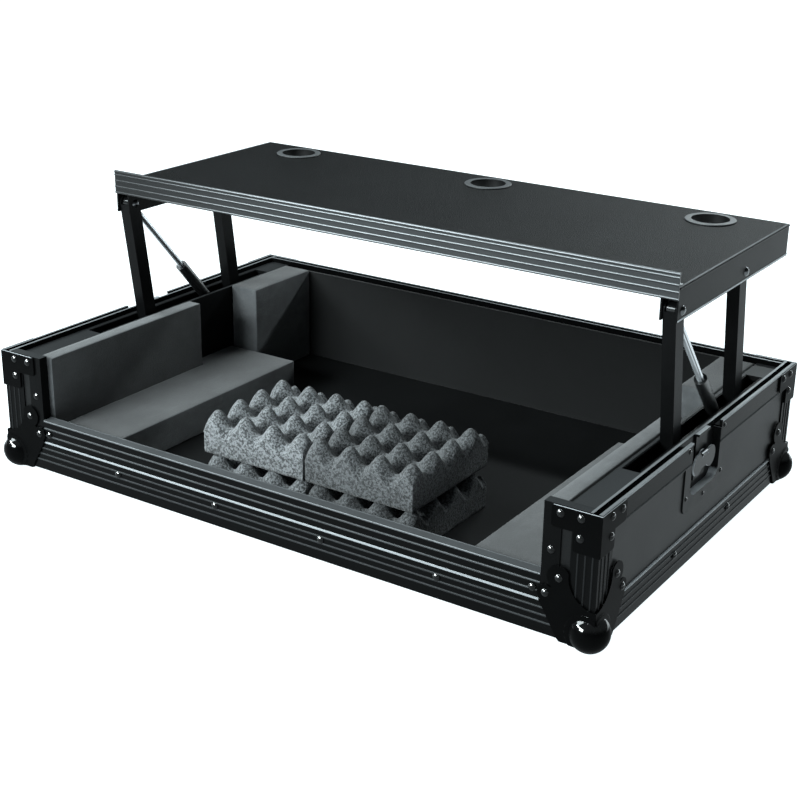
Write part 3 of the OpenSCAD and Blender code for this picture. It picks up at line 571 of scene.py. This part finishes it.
def shelfTexture():
    finish = Finish("shelfTexture", {"Specular IOR Level": 0.1})
    grit = finish.cloud(shelfLook["grit"], 4, 0.75)
    pebble = finish.cells(shelfLook["pebble"])
    shade = finish.fade(grit, 0.45, 0.62) * 0.7 + finish.cloud(7, 4, 0.6) * 0.3
    finish.set({
        "Base Color": finish.greys(shade, shelfLook["dark"], shelfLook["light"]),
        "Roughness": grit * 0.2 + shelfLook["gloss"],
    })
    finish.relief(grit + pebble * 0.7, shelfLook["depth"], 0.8)
    return finish.material


grommetLook = {
    "inside": 0.004, "dark": 0.077, "light": 0.165, "gloss": 0.35, "peel": 1500, "depth": 0.00004,
}


def grommetPlastic():  # pale on faces that look up, with painted shade darkening the bore
    finish = Finish("grommetPlastic", {"Specular IOR Level": 0.25})
    patches = finish.cloud(90, 3, 0.6)
    ring = finish.greys(patches, grommetLook["dark"], grommetLook["light"])
    # painted shade: faces that do not look up, such as the bore, turn dark
    up = finish.fade(finish.facing(2), 0.1, 0.5)
    finish.set({
        "Base Color": finish.tint(up, cool(grommetLook["inside"]), ring),
        "Roughness": patches * 0.16 + grommetLook["gloss"],
    })
    finish.relief(finish.cloud(grommetLook["peel"], 3, 0.6), grommetLook["depth"], 0.5)
    return finish.material


latchLook = {"dark": 0.003, "light": 0.007, "lip": 0.8, "gloss": 0.3, "peel": 700, "depth": 0.00004}
latchCoat = {"Coat Roughness": 0.08, "Coat IOR": 2.2}


def latchBlack():  # faces that look up, such as the lips, are painted bright: painted highlights
    finish = Finish("latchBlack", {"Specular IOR Level": 0.05, **latchCoat})
    patches = finish.cloud(70, 4, 0.6)
    # painted highlight on the faces that look up
    lip = finish.fade(finish.facing(2), 0.3, 0.8) * (patches * 0.6 + 0.6)
    paint = finish.greys(patches, latchLook["dark"], latchLook["light"])
    finish.set({
        "Base Color": finish.tint(lip, paint, cool(latchLook["lip"])),
        "Roughness": patches * 0.16 + latchLook["gloss"],
        "Coat Weight": finish.fade(finish.facing(2), 0.2, 0.5),
    })
    finish.relief(finish.cloud(latchLook["peel"], 3, 0.6), latchLook["depth"], 0.5)
    return finish.material


wingLook = {"dark": 0.003, "light": 0.009, "edge": 0.8, "gloss": 0.25, "depth": 0.00003}


def wingSteel():  # dark faces, with painted highlights on the edges
    finish = Finish("wingSteel", {"Specular IOR Level": 0.1, **latchCoat})
    patches = finish.cloud(160, 4, 0.6)
    scratches = finish.cloud(40, 4, 0.7, finish.stretched((1, 30, 4)))
    # painted highlight on the faces that do not face along X, the wing's edges
    edge = (1 - finish.fade(abs(finish.facing(0)), 0.7, 0.96)) * (patches * 0.8 + 0.4)
    face = finish.greys(patches, wingLook["dark"], wingLook["light"])
    finish.set({
        "Base Color": finish.tint(edge, face, cool(wingLook["edge"])),
        "Metallic": edge * 0.4,
        "Roughness": scratches * 0.2 + wingLook["gloss"],
        "Coat Weight": finish.fade(finish.facing(2), 0.2, 0.5),
    })
    finish.relief(scratches, wingLook["depth"], 0.4)
    return finish.material


# finishes of single nodes, then one for each material slot
ownFinish = {
    "front_bottom_rail": railBlack("bottomAlongX", 0, bottomCrests, bottomRubbed),
    "right_bottom_rail": railBlack("bottomAlongY", 1, bottomCrests, bottomRubbed),
    "front_sill_rail": railBlack("sillAlongX", 0, sillCrests),
    "rear_top_rail": railBlack("rimAlongX", 0, rimCrests),
    "right_top_rail": railBlack("rimAlongY", 1, rimCrests),
    "corner_uprights": railBlack("uprightAlongZ", 2, uprightCrests),
    "post_trims": railBlack("postAlongZ", 2, postCrests),
    # the ledges get painted light on their tops
    "left_ledge": panelLaminate("ledgeTop", 2.4),
    "shelf_front_rail": stopRail(),
    "corner_braces": cornerGloss("braceGloss", 1),
}
channelLow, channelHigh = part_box("shelf_right_channel")
ownFinish["shelf_right_channel"] = liftPaint("channelPaint", channelHigh.x, channelLow.z, channelHigh.z)
for name, twin in (
    ("rear_bottom_rail", "front_bottom_rail"), ("left_bottom_rail", "right_bottom_rail"),
    ("left_top_rail", "right_top_rail"), ("rim_bridges", "right_top_rail"),
    ("right_ledge", "left_ledge"), ("shelf_left_channel", "shelf_right_channel"),
):
    ownFinish[name] = ownFinish[twin]

slotFinish = {
    "panel_laminate": panelLaminate("panelLaminate"),
    "base_board": baseBoard(),
    "rail_black": ownFinish["corner_uprights"],
    "corner_gloss": cornerGloss("cornerGloss"),
    "rivet_steel": rivetSteel(),
    "lift_steel": liftPaint("liftPaint"),
    "bolt_steel": boltSteel(),
    "foam_block": foamPlank("foamPlank", plankShares),
    "lining": wallLining(),
    "egg_foam": eggFoamFinish("eggFoamLeft", leftEggTones),
    "rod_chrome": rodChrome(),
    "tube_black": tubeBlack(),
    "shelf_texture": shelfTexture(),
    "grommet_plastic": grommetPlastic(),
    "latch_black": latchBlack(),
    "latch_wing_steel": wingSteel(),
}
# the side planks are a copy with other painted light and shade: dark across X, light on ends and tops
sidePlank = foamPlank("sidePlank", sideShares)
rightEggFoam = eggFoamFinish("eggFoamRight", rightEggTones)
print("finishes made for", len(slotFinish), "slots and", len(ownFinish), "single nodes")


# the CAD nodes keep their shapes and get finishes and eased edges

edgeLook = {
    "weld": 0.00001,
    "flat": 0.6,    # degrees between faces that are merged
    "angle": 32,    # degrees from which an edge is eased and stays crisp
    "segments": 2,
    "width": 0.0004,
    "widths": {
        "shelf_left_channel": 0, "shelf_right_channel": 0,  # their ribs are rounded already
        "shelf_board": 0.001, "cable_grommets": 0.0006, "base_panel": 0.0006, "corner_braces": 0.0007,
        "front_left_ball_corner": 0.001, "front_right_ball_corner": 0.001,
        "rear_left_ball_corner": 0.001, "rear_right_ball_corner": 0.001,
    },
}


def smoothByAngle():  # edges flatter than the angle shade smooth, sharper ones stay crisp
    group = bpy.data.node_groups.new("smoothByAngle", "GeometryNodeTree")
    for end in ("INPUT", "OUTPUT"):
        group.interface.new_socket("Geometry", in_out=end, socket_type="NodeSocketGeometry")
    enter = group.nodes.new("NodeGroupInput")
    leave = group.nodes.new("NodeGroupOutput")
    allSmooth = group.nodes.new("GeometryNodeSetShadeSmooth")
    allSmooth.domain = "FACE"
    crisp = group.nodes.new("GeometryNodeSetShadeSmooth")
    crisp.domain = "EDGE"
    crisp.inputs["Shade Smooth"].default_value = False
    angle = group.nodes.new("GeometryNodeInputMeshEdgeAngle")
    compare = group.nodes.new("FunctionNodeCompare")
    compare.data_type = "FLOAT"
    compare.operation = "GREATER_THAN"
    compare.inputs[1].default_value = math.radians(edgeLook["angle"])
    link = group.links.new
    link(enter.outputs[0], allSmooth.inputs["Geometry"])
    link(allSmooth.outputs[0], crisp.inputs["Geometry"])
    link(angle.outputs["Unsigned Angle"], compare.inputs[0])
    link(compare.outputs[0], crisp.inputs["Selection"])
    link(crisp.outputs[0], leave.inputs[0])
    return group


smoothGroup = smoothByAngle()


def easeEdges(piece, width):
    weld = piece.modifiers.new("weld", "WELD")
    weld.merge_threshold = edgeLook["weld"]
    flat = piece.modifiers.new("flat", "DECIMATE")
    flat.decimate_type = "DISSOLVE"
    flat.angle_limit = math.radians(edgeLook["flat"])
    if width:
        ease = piece.modifiers.new("ease", "BEVEL")
        ease.width = width
        ease.segments = edgeLook["segments"]
        ease.limit_method = "ANGLE"
        ease.angle_limit = math.radians(edgeLook["angle"])
    smooth = piece.modifiers.new("smooth", "NODES")
    smooth.node_group = smoothGroup
    join = piece.modifiers.new("join", "WELD")  # faces that the easing left without width go
    join.merge_threshold = edgeLook["weld"]
    even = piece.modifiers.new("even", "WEIGHTED_NORMAL")
    even.keep_sharp = True


def coat(piece, material):
    piece.data.materials.clear()
    piece.data.materials.append(material)


for part in frame["record"]["subparts"]:
    name = part["node"]
    node = nodes[name]
    coat(node, ownFinish.get(name) or slotFinish[part["material_slot"]])
    if "custom_normal" in node.data.attributes:
        node.data.attributes.remove(node.data.attributes["custom_normal"])
    easeEdges(node, edgeLook["widths"].get(name, edgeLook["width"]))
print("CAD nodes finished")


# foam

def settle(name, node, points, faces, material):  # a foam piece in place of its node
    mesh = bpy.data.meshes.new(name)
    mesh.from_pydata(points, [], faces)
    joined = bmesh.new()  # points that fall together become one
    joined.from_mesh(mesh)
    bmesh.ops.remove_doubles(joined, verts=joined.verts, dist=edgeLook["weld"])
    joined.to_mesh(mesh)
    joined.free()
    for polygon in mesh.polygons:
        polygon.use_smooth = True
    piece = bpy.data.objects.new(name, mesh)
    bpy.context.scene.collection.objects.link(piece)
    coat(piece, material)
    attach(piece, "case")
    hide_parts(node)


def swell(place):  # smooth noise from 0 to 1
    return 0.5 + 0.5 * noise.noise(place)


plankLook = {
    "edge": 0.0016,      # radius of the softened edges
    "rows": (0, 0.12, 0.35, 0.65, 1),  # shares of that radius where the mesh has rows
    "step": 0.007,
    "drawnIn": 0.0007,   # how far the sides pull in at their edges
    "drawnPower": 5,     # how late they start to
    "clear": 0.0003,     # room left all round
    "waves": 0.0005,
    "waveScale": 18,
    "nicks": 0.0003,
    "nickScale": 160,
    "fill": 0.9,
}
liningShape = {**plankLook, "edge": 0.001, "drawnIn": 0.0004, "waves": 0.0006, "fill": 0.8}


def spaced(low, high, look):  # close together at the softened edges, wider between
    edge, rows = look["edge"], look["rows"]
    first = [low + edge * share for share in rows]
    last = [high - edge * share for share in reversed(rows)]
    count = max(2, round((high - low - 2 * edge) / look["step"]))
    middle = [first[-1] + (last[0] - first[-1]) * k / count for k in range(1, count)]
    return first + middle + last


def plankPoint(raw, low, high, look):
    edge = look["edge"]
    core = Vector(min(max(raw[a], low[a] + edge), high[a] - edge) for a in range(3))
    out = (raw - core).normalized()
    point = core + out * edge
    middle = (low + high) / 2
    half = (high - low) / 2
    share = [min(1, abs(point[a] - middle[a]) / half[a]) for a in range(3)]
    for a in range(3):
        beside = max(share[b] for b in range(3) if b != a) ** look["drawnPower"]
        pull = look["drawnIn"] * beside / half[a]
        point[a] = middle[a] + (point[a] - middle[a]) * (1 - pull)
    wave = swell(point * look["waveScale"] + low * 40)  # the place in the case varies the noise
    nick = swell(point * look["nickScale"] + low * 70)
    return point - out * (look["waves"] * wave + look["nicks"] * nick)


def foamBlock(name, node, material, look, beside=None):
    room = Vector((look["clear"],) * 3)
    low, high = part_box(node)
    low, high = low + room, high - room
    grid = [spaced(low[a], high[a], look) for a in range(3)]
    notch = None
    if beside:  # the block is cut out where its neighbour stands
        notch = [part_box(beside)[0] - room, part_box(beside)[1] + room]
        rows = len(look["rows"])
        for a, edge, away in ((0, notch[0].x, -1), (0, notch[1].x, 1), (1, notch[1].y, 1)):
            if grid[a][rows - 1] < edge < grid[a][-rows]:
                nearest = min(range(rows, len(grid[a]) - rows), key=lambda k: abs(grid[a][k] - edge))
                grid[a][nearest] = edge
                grid[a] = sorted(grid[a] + [edge + away * look["edge"]])
    last = [len(line) - 1 for line in grid]
    found, points, faces = {}, [], []

    def corner(key):
        if key not in found:
            found[key] = len(points)
            points.append(plankPoint(Vector(grid[a][key[a]] for a in range(3)), low, high, look))
        return found[key]

    def filled(cell):
        if any(not 0 <= cell[a] < last[a] for a in range(3)):
            return False
        if not notch:
            return True
        middle = [(grid[a][cell[a]] + grid[a][cell[a] + 1]) / 2 for a in (0, 1)]
        return any(not notch[0][a] < middle[a] < notch[1][a] for a in (0, 1))

    for cell in itertools.product(*(range(count) for count in last)):
        if not filled(cell):
            continue
        for a, end in itertools.product(range(3), (0, 1)):
            step = [0, 0, 0]
            step[a] = 1 if end else -1
            if filled([cell[k] + step[k] for k in range(3)]):
                continue
            b, c = (a + 1) % 3, (a + 2) % 3
            ring = []
            for di, dj in ((0, 0), (1, 0), (1, 1), (0, 1)):
                key = list(cell)
                key[a] += end
                key[b] += di
                key[c] += dj
                ring.append(corner(tuple(key)))
            faces.append(ring if end else ring[::-1])
    settle(name, node, points, faces, material)


for side in ("left", "right"):
    for kind in ("side", "floor", "corner"):
        node = f"{side}_{kind}_foam"
        beside = f"{side}_side_foam" if kind == "floor" else None
        material = sidePlank if kind == "side" else slotFinish["foam_block"]
        foamBlock(f"{side}{kind.capitalize()}Plank", node, material, plankLook, beside)
foamBlock("rearLiningSheet", "rear_lining", slotFinish["lining"], liningShape)
print("foam planks made")

eggShape = {
    "step": 0.0016,
    "pitch": 0.040,
    "first": 0.013,       # place of the first row of peaks
    "hollow": 0.017,      # thickness at the hollows
    "layers": 12,         # rows of faces down the sides
    "clear": 0.0002,
    "pores": 0.0007,
    "poreScales": (420, 900),
    "cut": 0.0004,        # roughness of the cut sides along the top edge
    "sides": 0.0005,      # and below it
    "uneven": 0.0012,     # how far the peaks differ in height
    "unevenScale": 30,
    "fill": 0.5,
}


def eggWave(distance):
    return math.cos(2 * math.pi * (distance - eggShape["first"]) / eggShape["pitch"])


def eggHeight(x, y, peak):
    hollow = eggShape["hollow"]
    return hollow + (peak - hollow) * (2 + eggWave(x) + eggWave(y)) / 4


def rough(place, amount):
    coarse, fine = eggShape["poreScales"]
    return amount * swell(place * coarse) + amount * 0.5 * swell(place * fine)


def eggCrate(name, node, material):
    low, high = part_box(node)
    size = high - low
    across = round(size.x / eggShape["step"])
    deep = round(size.y / eggShape["step"])
    base = low.z + eggShape["clear"]
    scale = eggShape["unevenScale"]
    points, faces = [], []

    def lattice(i, j):
        return j * (across + 1) + i

    for j in range(deep + 1):
        for i in range(across + 1):
            x, y = size.x * i / across, size.y * j / deep
            spot = low + Vector((x, y, eggHeight(x, y, size.z)))
            lopsided = eggShape["uneven"] * swell(Vector((spot.x * scale, spot.y * scale, low.z * 50)))
            drop = rough(spot, eggShape["pores"]) + lopsided
            if i in (0, across):
                spot.x += (eggShape["clear"] + rough(spot, eggShape["cut"])) * (1 if i == 0 else -1)
            if j in (0, deep):
                spot.y += (eggShape["clear"] + rough(spot, eggShape["cut"])) * (1 if j == 0 else -1)
            points.append(spot - Vector((0, 0, drop)))
    for j in range(deep):
        for i in range(across):
            faces.append([lattice(i, j), lattice(i + 1, j), lattice(i + 1, j + 1), lattice(i, j + 1)])
    rim = [(i, 0) for i in range(across)] + [(across, j) for j in range(deep)]
    rim += [(i, deep) for i in range(across, 0, -1)] + [(0, j) for j in range(deep, 0, -1)]
    above = [lattice(*place) for place in rim]
    for layer in range(1, eggShape["layers"] + 1):
        below = []
        for i, j in rim:
            top = points[lattice(i, j)]
            spot = Vector((top.x, top.y, base + (top.z - base) * (1 - layer / eggShape["layers"])))
            inward = rough(spot, eggShape["sides"])
            spot.x += inward * ((i == 0) - (i == across))
            spot.y += inward * ((j == 0) - (j == deep))
            below.append(len(points))
            points.append(spot)
        for k in range(len(rim)):
            after = (k + 1) % len(rim)
            faces.append([above[k], below[k], below[after], above[after]])
        above = below
    faces.append(above[::-1])
    settle(name, node, points, faces, material)


eggCrate("lowerLeftEggCrate", "lower_left_egg_foam", slotFinish["egg_foam"])
eggCrate("upperLeftEggCrate", "upper_left_egg_foam", slotFinish["egg_foam"])
eggCrate("lowerRightEggCrate", "lower_right_egg_foam", rightEggFoam)
eggCrate("upperRightEggCrate", "upper_right_egg_foam", rightEggFoam)
print("egg crate foam made")


# the floor is a light table: its glow keeps the shadows pale, its rim hides the horizon in low views

floorLook = {
    "half": 25,
    "rim": 1.5,
    "colour": (0.5, 0.51, 0.52, 1),
    "glow": (0.88, 0.97, 1, 1),
    "strength": 1.14,
    "roughness": 0.9,
}


def paleFloor():
    finish = Finish("paleFloor", {
        "Specular IOR Level": 0.1,
        "Base Color": floorLook["colour"],
        "Emission Color": floorLook["glow"],
        "Emission Strength": floorLook["strength"],
    })
    finish.set({"Roughness": finish.cloud(0.8, 2, 0.5) * 0.1 + floorLook["roughness"]})
    return finish.material


floorMesh = bpy.data.meshes.new("floor")
half = floorLook["half"]
ring = [(-half, -half), (half, -half), (half, half), (-half, half)]
floorPoints = [(x, y, z) for z in (0, floorLook["rim"]) for x, y in ring]
floorFaces = [(0, 1, 2, 3)] + [(k, k + 4, (k + 1) % 4 + 4, (k + 1) % 4) for k in range(4)]
floorMesh.from_pydata(floorPoints, [], floorFaces)
floor = bpy.data.objects.new("floor", floorMesh)
bpy.context.scene.collection.objects.link(floor)
coat(floor, paleFloor())
print("floor laid")
